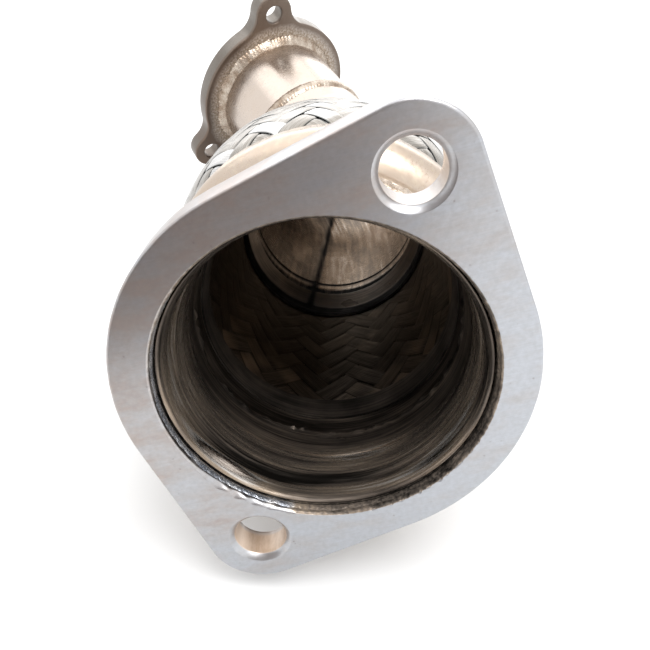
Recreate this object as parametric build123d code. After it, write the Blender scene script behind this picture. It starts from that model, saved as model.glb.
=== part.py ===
from build123d import *
import os
from math import cos, sin, pi, radians

# Turbo downpipe: outlet plate, short stub, braided flexible joint, one bend, inlet pipe and turbo plate.
# Millimetres, +Z up. The outlet plate faces -Y. The origin lies on its axis, where the sloping pipe's
# axis meets it, outlet_recess behind the front face.

# Pipe
tube_od = 76.2
tube_wall = 1.6
pipe_droop = 6.6          # the pipe leaves the outlet plate sloping down by this many degrees
pipe_drift = 1.6          # and off to +X by this many degrees

# Outlet plate, two bolts
outlet_thickness = 9.0
outlet_land = 9.1         # width of the plate's round middle outside the bore
outlet_ear_radius = 13.5
outlet_bolt_land = 4.9    # steel left between the bore and a bolt hole
outlet_bolt_hole = 13.2
outlet_hole_chamfer = 1.2
outlet_clocking = 19.3    # the upper bolt hole stands this many degrees from +Z towards +X
outlet_recess = 3.2       # the stub's end lies this far behind the plate's face
bore_clearance = 0.4      # the bore ahead of the stub's end is this much wider than the tube
plate_edge_break = 0.4
lip_share = 0.75          # part of the tube's wall that is rounded off at the stub's end

# Flexible joint, placed along the pipe's axis from the stub's end
flex_start = 35.0
flex_length = 120.0
collar_length = 28.0
collar_step = 10.5        # the collar's rim stands this far out of the tube
collar_wall = 1.5
collar_neck = 8.0
collar_shoulder = 5.8     # length of the slope between neck and rim
tube_grip = 9.0           # how far a tube reaches into the joint

# Bellows between the braids
bellows_wall = 0.8
bellows_gap = 0.6         # between the fold tips and the outer braid
bellows_count = 8
bellows_cuff = 20.0

# Braids
braid_thickness = 1.5
braid_belly = 5.9         # how far the outer braid stands out of its collars at mid length
belly_power = 0.6         # 0.5 is an arc, more is a longer slope out of the collars
belly_steps = 8           # straight steps of the braid's inner side
braid_relief = 0.9
braid_end_gap = 2.5       # the outer braid stops this far short of the collar's shoulder
braid_pitch = 8.2         # from bundle to bundle, round the joint
braid_row = 4.5           # along the joint, half the way from crossing to crossing
liner_thickness = 0.8
liner_relief = 0.35
liner_pitch = 9.8
liner_row = 6.2

# Liner rings
ring_wall = 0.8
ring_length = 11.5
funnel_drop = 2.5         # how far the far ring narrows
funnel_length = 12.0
funnel_band = 7.5         # straight band of the far ring, before it narrows
funnel_reach = 4.0        # how far the far ring reaches into the elbow

# Elbow and inlet pipe
elbow_leg = 94.4
bend_radius = 76.2
bend_angle = 45.0
bend_tangent = 5.0        # straight end of the elbow, after the bend
bend_clocking = -45.8     # the bend turns this many degrees off straight up, minus is towards -X
inlet_leg = 56.5
seam_clocking = 195.0     # the tube's seam, measured the same way
seam_width = 3.0
seam_height = 0.4

# Inlet plate, three bolts
inlet_thickness = 10.0
inlet_land = 11.5
inlet_ear_radius = 11.5
inlet_ear_blend = 14.0
inlet_ear_reach = 6.5     # an ear's middle lies this far outside the plate's round middle
inlet_bolt_hole = 10.5
inlet_bolts = 3
inlet_clocking = -80.0    # first ear, from the side that the bend turns towards
inlet_recess = 3.2

# Weld beads
fillet_weld = 4.0
fillet_weld_toe = 1.0     # thickness of the outlet plate's rear bead where it ends on the stub
collar_weld = 3.0
collar_weld_swell = 0.7   # the collar bead stays full for this part of its length
butt_weld_width = 7.0
butt_weld_height = 1.4
inner_weld_start = 0.9    # the inner beads begin this far behind the plate's face
inner_weld_bite = 0.3     # and reach this far in over the tube's end

tube_r = tube_od / 2
tube_ri = tube_r - tube_wall
bore_r = tube_r + bore_clearance
outlet_hub_radius = bore_r + outlet_land
outlet_bolt_circle = 2 * bore_r + 2 * outlet_bolt_land + outlet_bolt_hole
inlet_hub_radius = bore_r + inlet_land
inlet_bolt_circle = 2 * inlet_hub_radius + 2 * inlet_ear_reach
collar_od = tube_od + 2 * collar_step
flex_end = flex_start + flex_length
stub_end = flex_start + tube_grip
elbow_start = flex_end - tube_grip
bend_start = elbow_start + elbow_leg
rear_ring_end = elbow_start + funnel_reach
rear_ring_start = rear_ring_end - funnel_length - funnel_band
collar_r = collar_od / 2
collar_ri = collar_r - collar_wall
cuff_r = tube_r + bellows_wall
crest_r = collar_ri - braid_thickness - bellows_gap
liner_ri = tube_r - liner_thickness
braid_bundles = 2 * round(pi * collar_ri / braid_pitch)
liner_bundles = 2 * round(pi * liner_ri / liner_pitch)


def direction(droop, drift):
    """Unit vector that slopes down by droop and off to +X by drift, both in degrees."""
    return Vector(sin(radians(drift)) * cos(radians(droop)), cos(radians(drift)) * cos(radians(droop)),
                  -sin(radians(droop)))


def pipe_plane():
    """Frame of the sloping pipe: Z along it from the middle of the stub's end, X as near up as it goes."""
    along = direction(pipe_droop, pipe_drift)
    right = along.cross(Vector(0, 0, 1)).normalized()
    return Plane(origin=(0, 0, 0), x_dir=right.cross(along), z_dir=along)


def bend_plane(start):
    """Frame at distance start on the pipe's axis, with local X on the side that the bend turns towards."""
    return Plane(pipe_plane().location * Pos(0, 0, start) * Rot(0, 0, bend_clocking))


def end_of_bend():
    """Frame at the end of the bend, Z along the pipe, X still on the inside of the bend."""
    turn = radians(bend_angle)
    base = bend_plane(bend_start)
    along = base.z_dir * cos(turn) + base.x_dir * sin(turn)
    inward = base.x_dir * cos(turn) - base.z_dir * sin(turn)
    centre = base.origin + base.x_dir * bend_radius * (1 - cos(turn)) + base.z_dir * bend_radius * sin(turn)
    return Plane(origin=centre, x_dir=inward, z_dir=along)


def inlet_plane():
    """Frame of the inlet plate's outer face, Z pointing out of the pipe."""
    end = end_of_bend()
    reach = bend_tangent + inlet_leg
    return Plane(origin=end.origin + end.z_dir * reach, x_dir=end.x_dir, z_dir=end.z_dir)


def outlet_plane():
    """Frame of the outlet plate's front face, Z pointing into the plate, X towards the upper bolt hole."""
    turn = radians(outlet_clocking)
    return Plane(origin=(0, -outlet_recess, 0), x_dir=(sin(turn), 0, cos(turn)), z_dir=(0, 1, 0))


def turned(points):
    """Solid of revolution round local Z from (radius, distance) corners."""
    profile = make_face(Polyline(*[(r, 0, s) for r, s in points], close=True))
    return revolve(profile, Axis.Z, 360)


def ring(inner, outer, start, end):
    """Plain tube round local Z."""
    return Pos(0, 0, start) * extrude(Circle(outer) - Circle(inner), end - start)


def behind_recess(shape):
    """What is left of a shape when all that lies ahead of the stub's end is cut off."""
    ahead = Box(4 * tube_od, 4 * tube_od, 4 * outlet_thickness, align=(Align.CENTER, Align.CENTER, Align.MAX))
    return shape - outlet_plane().location * Pos(0, 0, outlet_recess) * ahead


def outlet_flange():
    span = outlet_bolt_circle / 2
    circles = [Edge.make_circle(outlet_hub_radius)]
    circles += [Edge.make_circle(outlet_ear_radius, Plane((side * span, 0, 0))) for side in (1, -1)]
    outline = make_hull(circles)
    plate = extrude(outline, outlet_thickness)
    plate = chamfer(plate.edges().group_by(Axis.Z)[0] + plate.edges().group_by(Axis.Z)[-1], plate_edge_break)
    for side in (1, -1):
        hole = Cylinder(outlet_bolt_hole / 2, outlet_thickness, align=(Align.CENTER, Align.CENTER, Align.MIN))
        mouth = Cone(outlet_bolt_hole / 2 + outlet_hole_chamfer, outlet_bolt_hole / 2, outlet_hole_chamfer,
                     align=(Align.CENTER, Align.CENTER, Align.MIN))
        plate -= Pos(side * span, 0, 0) * (hole + mouth)
    plate -= Cylinder(bore_r, outlet_recess, align=(Align.CENTER, Align.CENTER, Align.MIN))
    plate = outlet_plane().location * plate
    return plate - behind_recess(pipe_plane().location * Cylinder(tube_r, 4 * outlet_thickness))


def outlet_stub():
    """Its end is cut in line with the plate, and the inner edge there is rounded."""
    tube = behind_recess(pipe_plane().location * ring(tube_ri, tube_r, -outlet_thickness, stub_end))
    rims = tube.edges().group_by(Axis.Y)[0]
    return fillet(rims.sort_by(SortBy.LENGTH)[0], lip_share * tube_wall)


def outlet_inner_weld():
    toe = tube_r - inner_weld_bite
    bead = turned([(bore_r, inner_weld_start), (bore_r, outlet_recess), (toe, outlet_recess)])
    return outlet_plane().location * bead


def outlet_rear_weld():
    """Fillet round the sloping stub on the plate's back."""
    pipe = pipe_plane()
    centre = pipe.origin + pipe.z_dir * ((outlet_thickness - outlet_recess) / pipe.z_dir.Y)
    bead = Cone(tube_r + fillet_weld, tube_r + fillet_weld_toe, fillet_weld,
                align=(Align.CENTER, Align.CENTER, Align.MIN))
    seat = Plane(origin=centre, x_dir=outlet_plane().x_dir, z_dir=(0, 1, 0))
    return seat.location * bead - pipe.location * Cylinder(tube_r, 8 * outlet_thickness)


def end_for_end(points):
    """The same corners measured from the joint's far end."""
    return [(r, flex_start + flex_end - s) for r, s in points]


def collar_points():
    neck_end = flex_start + collar_neck
    rim_start = neck_end + collar_shoulder
    rim_end = flex_start + collar_length
    return [(cuff_r, flex_start), (cuff_r + collar_wall, flex_start), (cuff_r + collar_wall, neck_end),
            (collar_r, rim_start), (collar_r, rim_end), (collar_ri, rim_end),
            (collar_ri, rim_start + collar_wall / 2), (cuff_r, neck_end + collar_wall / 2)]


def flex_collar(points):
    profile = make_face(Polyline(*[(r, 0, s) for r, s in points], close=True))
    corners = profile.vertices()
    shoulder = [corners.sort_by_distance((r, 0, s))[0] for r, s in (points[3], points[2])]
    profile = fillet(shoulder, min(2 * collar_wall, (collar_ri - cuff_r) / 4))
    return pipe_plane().location * revolve(profile, Axis.Z, 360)


def collar_weld_bead(points):
    return pipe_plane().location * turned(points)


def collar_weld_points():
    return [(tube_r, flex_start - collar_weld), (tube_r, flex_start), (cuff_r + collar_wall, flex_start),
            (cuff_r + collar_wall / 2, flex_start - collar_weld_swell * collar_weld)]


def flex_bellows():
    """Straight cuffs with V folds between them, one thin wall."""
    first = flex_start + bellows_cuff
    pitch = (flex_length - 2 * bellows_cuff) / bellows_count
    slant = ((crest_r - cuff_r) ** 2 + (pitch / 2) ** 2) ** 0.5
    radial_wall = bellows_wall * slant / (pitch / 2)
    root = tube_r + radial_wall + bellows_wall / 2
    outside = [(cuff_r, flex_start), (cuff_r, first)]
    inside = [(tube_r, flex_start), (tube_r, first)]
    for fold in range(bellows_count):
        outside.append((crest_r, first + (fold + 0.5) * pitch))
        inside.append((crest_r - radial_wall, first + (fold + 0.5) * pitch))
        if fold < bellows_count - 1:
            outside.append((root, first + (fold + 1) * pitch))
            inside.append((root - radial_wall, first + (fold + 1) * pitch))
    outside += [(cuff_r, flex_end - bellows_cuff), (cuff_r, flex_end)]
    inside += [(tube_r, flex_end - bellows_cuff), (tube_r, flex_end)]
    return pipe_plane().location * turned(outside + inside[::-1])


def facet(corners):
    return Face(Wire.make_polygon(corners, close=True))


def woven_face(radius_at, relief, start, end, bundles, row_length):
    """Two-over, two-under weave of flat bundles as facets: each bundle rises where it lies on top.

    Points stand on a grid of 2 * bundles columns and an even number of rows. The odd points are the
    middles of the diamonds where bundles cross, and two diamonds in line on a bundle share one ridge."""
    columns = 2 * bundles
    rows = 2 * round((end - start) / row_length / 2)

    def point(column, row, lift=0.0):
        s = start + (end - start) * row / rows
        turn = 2 * pi * column / columns
        r = radius_at(s) + lift
        return (r * cos(turn), r * sin(turn), s)

    def whole(row):
        return 0 < row < rows

    faces = []
    for column in range(columns):
        for row in range(rows + 1):
            if (column + row) % 2 == 0:
                continue
            left, right = point(column - 1, row), point(column + 1, row)
            if row == 0:
                faces.append(facet([left, right, point(column, 1)]))
                continue
            if row == rows:
                faces.append(facet([left, right, point(column, rows - 1)]))
                continue
            below, above = point(column, row - 1), point(column, row + 1)
            middle = point(column, row, relief)
            rising = column % 4 in (1, 2)
            first = column % 2 == 1
            step = (1 if first else -1, (1 if rising else -1) * (1 if first else -1))
            partner_row = row + step[1]
            edges = {(1, 1): (right, above), (-1, -1): (left, below),
                     (1, -1): (right, below), (-1, 1): (left, above)}
            for way, (one, other) in edges.items():
                if way != step or not whole(partner_row):
                    faces.append(facet([one, other, middle]))
                    continue
                faces.append(facet([middle, point(column + step[0], partner_row, relief), one]))
    return faces


def sleeve_rings(profile, bundles):
    """Facets between rings of as many points as there are bundles, from (radius, distance) pairs."""
    faces = []
    for (r0, s0), (r1, s1) in zip(profile, profile[1:]):
        for step in range(bundles):
            a, b = 2 * pi * step / bundles, 2 * pi * (step + 1) / bundles
            faces.append(facet([(r0 * cos(a), r0 * sin(a), s0), (r0 * cos(b), r0 * sin(b), s0),
                                (r1 * cos(b), r1 * sin(b), s1), (r1 * cos(a), r1 * sin(a), s1)]))
    return faces


def belly(s):
    """Outer braid's mean radius: it leaves the collars steeply and runs flat over the middle."""
    middle = (flex_start + flex_end) / 2
    half = flex_length / 2 - collar_length
    off = min(abs(s - middle) / half, 1.0)
    return collar_ri + braid_belly * (1 - off ** 2) ** belly_power


def flex_outer_braid():
    start = flex_start + collar_length
    end = flex_end - collar_length
    tuck = collar_length - collar_neck - collar_shoulder - braid_end_gap
    stations = [start + (end - start) * step / belly_steps for step in range(belly_steps + 1)]
    inside = [(belly(s) - braid_thickness, s) for s in stations]
    loop = ([(collar_ri, start), (collar_ri, start - tuck), (collar_ri - braid_thickness, start - tuck)]
            + inside + [(collar_ri - braid_thickness, end + tuck), (collar_ri, end + tuck), (collar_ri, end)])
    faces = woven_face(belly, braid_relief, start, end, braid_bundles, braid_row)
    faces += sleeve_rings(loop, braid_bundles)
    return pipe_plane().location * Solid(Shell(faces))


def flex_inner_braid():
    """Its flats, not its corners, lie on the liner rings."""
    start = stub_end + ring_length
    corner = liner_ri / cos(pi / liner_bundles)
    loop = [(corner, start), (corner, stub_end), (tube_r, stub_end), (tube_r, elbow_start),
            (corner, elbow_start), (corner, rear_ring_start)]
    faces = woven_face(lambda s: corner, -liner_relief, start, rear_ring_start, liner_bundles, liner_row)
    faces += sleeve_rings(loop, liner_bundles)
    return pipe_plane().location * Solid(Shell(faces))


def flex_front_inner_ring():
    return pipe_plane().location * ring(liner_ri - ring_wall, liner_ri, stub_end, stub_end + ring_length)


def flex_rear_inner_ring():
    """Far liner ring: a band against the braid, then a funnel that ends just inside the elbow."""
    inner = liner_ri - ring_wall
    band_end = rear_ring_start + funnel_band
    return pipe_plane().location * turned([
        (inner, rear_ring_start), (liner_ri, rear_ring_start), (liner_ri, band_end),
        (liner_ri - funnel_drop, rear_ring_end), (inner - funnel_drop, rear_ring_end), (inner, band_end)])


def tube_section():
    """Tube wall with the low ridge of its own seam inside."""
    ridge = Rot(0, 0, seam_clocking - bend_clocking) * Pos(tube_ri - seam_height / 2 + tube_wall / 4, 0)
    return Circle(tube_r) - Circle(tube_ri) + ridge * Rectangle(seam_height + tube_wall / 2, seam_width)


def elbow():
    section = tube_section()
    leg = bend_plane(elbow_start).location * extrude(section, elbow_leg)
    pivot = Axis((bend_radius, 0, 0), (0, 1, 0))
    bend = bend_plane(bend_start).location * revolve(section, pivot, bend_angle)
    tangent = end_of_bend().location * extrude(section, bend_tangent)
    return leg + bend + tangent


def inlet_pipe():
    end = bend_tangent + inlet_leg - inlet_recess
    return end_of_bend().location * ring(tube_ri, tube_r, bend_tangent, end)


def elbow_weld():
    """Low crowned bead over the joint between the elbow and the inlet pipe."""
    low, high = bend_tangent - butt_weld_width / 2, bend_tangent + butt_weld_width / 2
    crown = ThreePointArc((tube_r, 0, low), (tube_r + butt_weld_height, 0, bend_tangent), (tube_r, 0, high))
    profile = make_face([crown, Line((tube_r, 0, high), (tube_r, 0, low))])
    return end_of_bend().location * revolve(profile, Axis.Z, 360)


def inlet_flange():
    outline = Circle(inlet_hub_radius)
    ears = PolarLocations(inlet_bolt_circle / 2, inlet_bolts, start_angle=inlet_clocking)
    outline += [place * Circle(inlet_ear_radius) for place in ears]
    outline = fillet(outline.vertices(), inlet_ear_blend)
    plate = Pos(0, 0, -inlet_thickness) * extrude(outline, inlet_thickness)
    plate = chamfer(plate.edges().group_by(Axis.Z)[0] + plate.edges().group_by(Axis.Z)[-1], plate_edge_break)
    for place in ears:
        plate -= place * Cylinder(inlet_bolt_hole / 2, 3 * inlet_thickness)
    plate -= Cylinder(tube_r, 3 * inlet_thickness)
    plate -= Cylinder(bore_r, inlet_recess, align=(Align.CENTER, Align.CENTER, Align.MAX))
    return inlet_plane().location * plate


def inlet_inner_weld():
    return inlet_plane().location * turned([
        (bore_r, -inner_weld_start), (bore_r, -inlet_recess), (tube_r - inner_weld_bite, -inlet_recess)])


def inlet_outer_weld():
    seat = -inlet_thickness
    return inlet_plane().location * turned([
        (tube_r, seat), (tube_r + fillet_weld, seat), (tube_r, seat - fillet_weld)])


parts = {
    "outlet_flange": outlet_flange(),
    "outlet_stub": outlet_stub(),
    "outlet_inner_weld": outlet_inner_weld(),
    "outlet_rear_weld": outlet_rear_weld(),
    "flex_front_collar": flex_collar(collar_points()),
    "flex_rear_collar": flex_collar(end_for_end(collar_points())),
    "flex_front_weld": collar_weld_bead(collar_weld_points()),
    "flex_rear_weld": collar_weld_bead(end_for_end(collar_weld_points())),
    "flex_bellows": flex_bellows(),
    "flex_outer_braid": flex_outer_braid(),
    "flex_inner_braid": flex_inner_braid(),
    "flex_front_inner_ring": flex_front_inner_ring(),
    "flex_rear_inner_ring": flex_rear_inner_ring(),
    "elbow": elbow(),
    "elbow_weld": elbow_weld(),
    "inlet_pipe": inlet_pipe(),
    "inlet_flange": inlet_flange(),
    "inlet_outer_weld": inlet_outer_weld(),
    "inlet_inner_weld": inlet_inner_weld(),
}

os.makedirs("parts", exist_ok=True)
for name, shape in parts.items():
    export_step(shape, f"parts/{name}.step")
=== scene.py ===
import math

import bpy
import numpy as np
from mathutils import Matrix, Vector
from mathutils.geometry import delaunay_2d_cdt

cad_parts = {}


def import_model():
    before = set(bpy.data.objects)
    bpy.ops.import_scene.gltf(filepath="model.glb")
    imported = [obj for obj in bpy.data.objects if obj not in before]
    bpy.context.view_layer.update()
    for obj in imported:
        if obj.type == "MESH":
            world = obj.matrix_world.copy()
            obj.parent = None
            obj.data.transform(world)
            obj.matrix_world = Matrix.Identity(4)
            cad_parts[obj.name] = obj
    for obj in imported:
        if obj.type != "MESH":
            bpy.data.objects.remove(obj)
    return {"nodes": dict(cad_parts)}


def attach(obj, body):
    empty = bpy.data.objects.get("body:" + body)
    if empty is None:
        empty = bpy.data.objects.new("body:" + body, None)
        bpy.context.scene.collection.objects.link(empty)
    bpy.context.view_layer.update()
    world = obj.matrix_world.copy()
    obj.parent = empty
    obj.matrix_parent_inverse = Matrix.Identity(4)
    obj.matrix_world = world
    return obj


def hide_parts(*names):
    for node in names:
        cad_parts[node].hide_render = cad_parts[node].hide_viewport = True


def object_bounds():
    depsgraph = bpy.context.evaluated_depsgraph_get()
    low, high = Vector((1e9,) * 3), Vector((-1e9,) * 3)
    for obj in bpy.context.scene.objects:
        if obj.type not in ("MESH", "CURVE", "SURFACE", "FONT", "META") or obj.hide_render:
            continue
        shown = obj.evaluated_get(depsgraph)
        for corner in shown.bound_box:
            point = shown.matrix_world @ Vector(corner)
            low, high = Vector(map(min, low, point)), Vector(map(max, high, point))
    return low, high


# Looks of the turbo downpipe. Lengths are in millimetres until a mesh is made, and in metres on the stage.
# Distances along the pipe start at the stub's end, as in the part's source. Angles are in radians unless said
# to be degrees. They are counted round the pipe from its upper side, and round a plate from its first ear.

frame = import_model()
cad_low, cad_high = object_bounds()

MM = 0.001
SEED = 7

# Pipe
TUBE_R = 38.1
TUBE_WALL = 1.6
TUBE_RI = TUBE_R - TUBE_WALL
DROOP = math.radians(6.6)
DRIFT = math.radians(1.6)

# Outlet plate
OUTLET_THICKNESS = 9.0
OUTLET_HUB = 47.6
OUTLET_EAR = 13.5
OUTLET_SPAN = 50.0
OUTLET_HOLE = 6.6
OUTLET_CLOCK = math.radians(19.3)
OUTLET_RECESS = 3.2
BORE_R = TUBE_R + 0.4
HOLE_CHAMFER = 1.2
GRAIN_TURN = math.radians(55.7)

# Flexible joint
FLEX_START = 35.0
FLEX_END = 155.0
COLLAR_LENGTH = 28.0
COLLAR_R = 48.6
COLLAR_WALL = 1.5
COLLAR_RI = COLLAR_R - COLLAR_WALL
COLLAR_NECK = 8.0
COLLAR_SHOULDER = 5.8
CUFF_R = TUBE_R + 0.8
STUB_END = 44.0
ELBOW_START = 146.0
BELLY = 5.9
BELLY_POWER = 0.6

# Braids
OUTER_BUNDLES = 36
OUTER_ROWS = 14
OUTER_ROW = (FLEX_END - FLEX_START - 2 * COLLAR_LENGTH) / OUTER_ROWS
LINER_R = TUBE_R - 0.8
LINER_BUNDLES = 24
LINER_ROWS = 12
STRIP_STEPS = 4
STRIP_DRIFT = 0.03
STRIP_SAG = 0.06
WIRE_DEPTH = 0.02

# Liner rings
RING_WALL = 0.8
FRONT_RING_END = STUB_END + 11.5
REAR_RING_END = ELBOW_START + 4.0
REAR_RING_START = 130.5
LINER_ROW = (REAR_RING_START - FRONT_RING_END) / LINER_ROWS
FUNNEL_BAND = 7.5
FUNNEL_DROP = 2.5

# Elbow and inlet pipe
BEND_START = 240.4
BEND_RADIUS = 76.2
BEND_ANGLE = math.radians(45)
BEND_CLOCK = math.radians(-45.8)
BEND_END = BEND_START + BEND_RADIUS * BEND_ANGLE
ELBOW_END = BEND_END + 5.0
PIPE_END = ELBOW_END + 56.5
SEAM_STOPS = (140, 173, 240, 250, 260, 270, 285)
SEAM_DEGREES = (196.3, 193.5, 189.2, 187.5, 183.5, 176.5, 168.0)
SEAM_HALF = 1.8
SEAM_HEIGHT = 0.2

# Inlet plate
INLET_THICKNESS = 10.0
INLET_HUB = 50.0
INLET_EAR = 11.5
INLET_BLEND = 14.0
INLET_SPAN = 56.5
INLET_HOLE = 5.25
INLET_CLOCK = math.radians(-80)
INLET_RECESS = 3.2
INLET_EARS = 3

# Fineness of the meshes
STUB_COLUMNS = 400
ELBOW_COLUMNS = 250
PIPE_COLUMNS = 220
RING_COLUMNS = 240
BEAD_COLUMNS = 600
ARC_STEP = 0.9
HOLE_STEP = 0.6
BORE_STEP = 0.4

# Marks on the plates
PLATE_ROUND = 0.7
DENT = 0.03
DENT_LIMIT = 0.3
NICK = 0.5
NICK_HALF = 0.012
BURR_FULL = 0.1
BURR_DEPTH = 1.2
RAGGED_AT = math.radians(118)
RAGGED_HALF = 0.45
WORN_AT = math.radians(194)
WORN_HALF = 0.30

# Marks in the stub, and patches of painted light and shade, partly also rubbed metal, as (amount, degrees,
# half width, distance, half length)
LIP_FLARE = 1.0
LIP_LENGTH = 3.0
LIP_POWER = 1.7
BULGE = 0.9
BULGE_DEGREES = 222
BULGE_PLACE = 3.9
TROUGH_DEPTH = 0.5
TROUGH_RISE = (5.8, 7.0)
TROUGH_FALL = (11.2, 12.6)
STEP_DEPTH = 0.22
STEP_RISE = (23.4, 24.2)
WELD_MARK = 0.7
SPATTER_COUNT = 12
# A negative amount paints a patch lighter, a positive one darker.
STUB_SHADING_PATCHES = (
    (-0.90, 222, 18, 2.4, 1.9),
    (-0.38, 135, 20, 3.0, 3.5),
    (-0.20, 176, 20, 6.5, 2.5),
    (-0.42, 166, 18, 22.5, 3.2),
    (0.16, 178, 34, 0.0, 3.0),
    (-0.18, 258, 26, 9.0, 7.0),
    (-0.32, 120, 24, 10.0, 8.0),
)

# Marks in the elbow
BAND_HEIGHT = 0.35
BAND_RISE = (160.6, 161.6)
BAND_FALL = (166.8, 168.0)
GROOVE_DEPTH = 0.3
GROOVE_PLACE = 168.6
RIPPLE_HEIGHT = 0.1225
RIPPLE_FADE = 20
RIPPLE_RATE = 0.55
WAVER = 0.05

# The heat layer holds the distance to the nearest weld, or this where there is none
COLD = 99.0

# Stage, its lamps as (name, place, what it points at, size, watts)
FLOOR_HALF = 0.8
FLOOR_GAP = 0.0005
CARD_NEAR = (-0.125, -0.06)
CARD_FAR = (0.05, -0.165)
CARD_RISE = 0.018
CARD_TOP = 0.3
FLOOR_GREY = (0.68, 0.68, 0.68)
CARD_GREY = (0.24, 0.21, 0.20)
WORLD_STRENGTH = 1.4
LAMPS = (
    ("key", (0.25, -0.35, 0.75), (0, 0.1, 0), (0.5, 0.5), 6),
    ("top", (-0.1, 0.35, 0.7), (0, 0.2, 0), (0.9, 0.9), 2),
    ("back", (0.0, 1.2, 0.5), (0, 0.1, 0), (1.6, 0.6), 4),
)

# Camera
CAMERA_LENS = 36.21
CAMERA_SENSOR = 36
CAMERA_AT = (0.0, -122.2, 81.3)
CAMERA_AIM = (0.0, 0.874, -0.486)


def unit(v):
    return v / np.linalg.norm(v)


ALONG = np.array([
    math.sin(DRIFT) * math.cos(DROOP),
    math.cos(DRIFT) * math.cos(DROOP),
    -math.sin(DROOP),
])
RIGHT = unit(np.cross(ALONG, (0, 0, 1)))
UP = np.cross(RIGHT, ALONG)
INWARD = math.cos(BEND_CLOCK) * UP + math.sin(BEND_CLOCK) * RIGHT
SIDE = np.cross(ALONG, INWARD)
OUTLET_IN = np.array([0.0, 1.0, 0.0])
OUTLET_X = np.array([math.sin(OUTLET_CLOCK), 0, math.cos(OUTLET_CLOCK)])
OUTLET_Y = np.cross(OUTLET_IN, OUTLET_X)
OUTLET_ORIGIN = -OUTLET_RECESS * OUTLET_IN


def spread(values, vector):
    """Each number times the vector."""
    return np.asarray(values, float)[..., None] * vector


def on_pipe(s, r, turn):
    """Points at distance s on the pipe's axis, r away from it and turn round it from its upper side."""
    bent = np.clip((s - BEND_START) / BEND_RADIUS, 0, BEND_ANGLE)
    beyond = np.maximum(s - BEND_END, 0)
    forward = spread(np.cos(bent), ALONG) + spread(np.sin(bent), INWARD)
    inward = spread(np.cos(bent), INWARD) - spread(np.sin(bent), ALONG)
    centre = spread(np.minimum(s, BEND_START) + BEND_RADIUS * np.sin(bent), ALONG)
    centre = centre + spread(BEND_RADIUS * (1 - np.cos(bent)), INWARD)
    centre = centre + beyond[..., None] * forward
    reach = np.cos(turn - BEND_CLOCK)[..., None] * inward + spread(np.sin(turn - BEND_CLOCK), SIDE)
    return centre + r[..., None] * reach


def on_outlet(depth, r, turn, leaning=True):
    """Points in the outlet plate. Behind the stub's end what is leaning goes with the pipe."""
    lean = np.where(leaning, np.maximum(depth - OUTLET_RECESS, 0), 0)
    centre = OUTLET_ORIGIN + spread(depth, OUTLET_IN) + spread(lean, ALONG / ALONG[1] - OUTLET_IN)
    return centre + spread(r * np.cos(turn), OUTLET_X) + spread(r * np.sin(turn), OUTLET_Y)


def on_outlet_plate(depth, r, turn):
    """Points in the outlet plate where only the bore behind the recess leans with the pipe."""
    return on_outlet(depth, r, turn, (r < BORE_R + 0.05) & (depth > OUTLET_RECESS))


def on_inlet(depth, r, turn):
    """Points in the inlet plate, depth counted from its outer face back into the pipe."""
    return on_pipe(PIPE_END - depth, r, turn + BEND_CLOCK)


def wobble(turn, seed, slowest, fastest, fall=0.5):
    """Smooth random curve round the pipe that closes on itself, about 1 high."""
    draw = np.random.default_rng(SEED + seed)
    total = np.zeros_like(turn, dtype=float)
    power = 0.0
    for n in range(slowest, fastest + 1):
        size = (slowest / n) ** fall
        total = total + size * np.cos(n * turn + draw.uniform(0, 2 * math.pi))
        power += size * size / 2
    return total / math.sqrt(power)


def near(value, centre, width):
    """Bell curve, 1 at the centre."""
    return np.exp(-(((value - centre) / width) ** 2))


def angle_gap(turn, centre):
    """How far one angle lies ahead of another, the short way round."""
    return (turn - centre + math.pi) % (2 * math.pi) - math.pi


def ease(value, low, high):
    """Smooth step from 0 at low to 1 at high."""
    t = np.clip((value - low) / (high - low), 0, 1)
    return t * t * (3 - 2 * t)


def between(value, rise, fall):
    """1 between two smooth steps, each a pair of where it begins and ends."""
    return ease(value, *rise) * ease(-value, -fall[1], -fall[0])


def soften(corners, steps=4):
    """Closed outline from (distance, radius, rounding) corners, each rounded by that much."""
    points = []
    for i, (s, r, size) in enumerate(corners):
        here = np.array([s, r], float)
        if size == 0:
            points.append(here)
            continue
        ends = []
        for other in (corners[i - 1], corners[(i + 1) % len(corners)]):
            way = np.array(other[:2], float) - here
            length = np.linalg.norm(way)
            ends.append(here + way / length * min(size, 0.48 * length))
        for t in np.linspace(0, 1, steps + 1):
            points.append((1 - t) ** 2 * ends[0] + 2 * t * (1 - t) * here + t * t * ends[1])
    return np.array(points)


def divide(loop, longest):
    """The same closed outline with its long runs cut into shorter ones."""
    points = []
    for here, after in zip(loop, np.roll(loop, -1, axis=0)):
        count = max(1, math.ceil(np.linalg.norm(after - here) / longest))
        points += [here + (after - here) * i / count for i in range(count)]
    return np.array(points)


def grid_faces(rows, columns, start=0):
    """Quads of a grid that closes on itself both ways."""
    index = start + np.arange(rows * columns).reshape(rows, columns)
    down = np.roll(index, -1, axis=0)
    return np.stack([index, np.roll(index, -1, axis=1), np.roll(down, -1, axis=1), down], -1).reshape(-1, 4)


def volume(points, faces):
    """Number that is above 0 where quads look out of the closed body they enclose."""
    a, b, c, d = (points[faces[:, i]] for i in range(4))
    return np.sum(np.einsum("ij,ij->i", a, np.cross(b, c) + np.cross(c, d)))


def link(name, data):
    """New object in the scene."""
    made = bpy.data.objects.new(name, data)
    bpy.context.scene.collection.objects.link(made)
    return made


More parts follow.
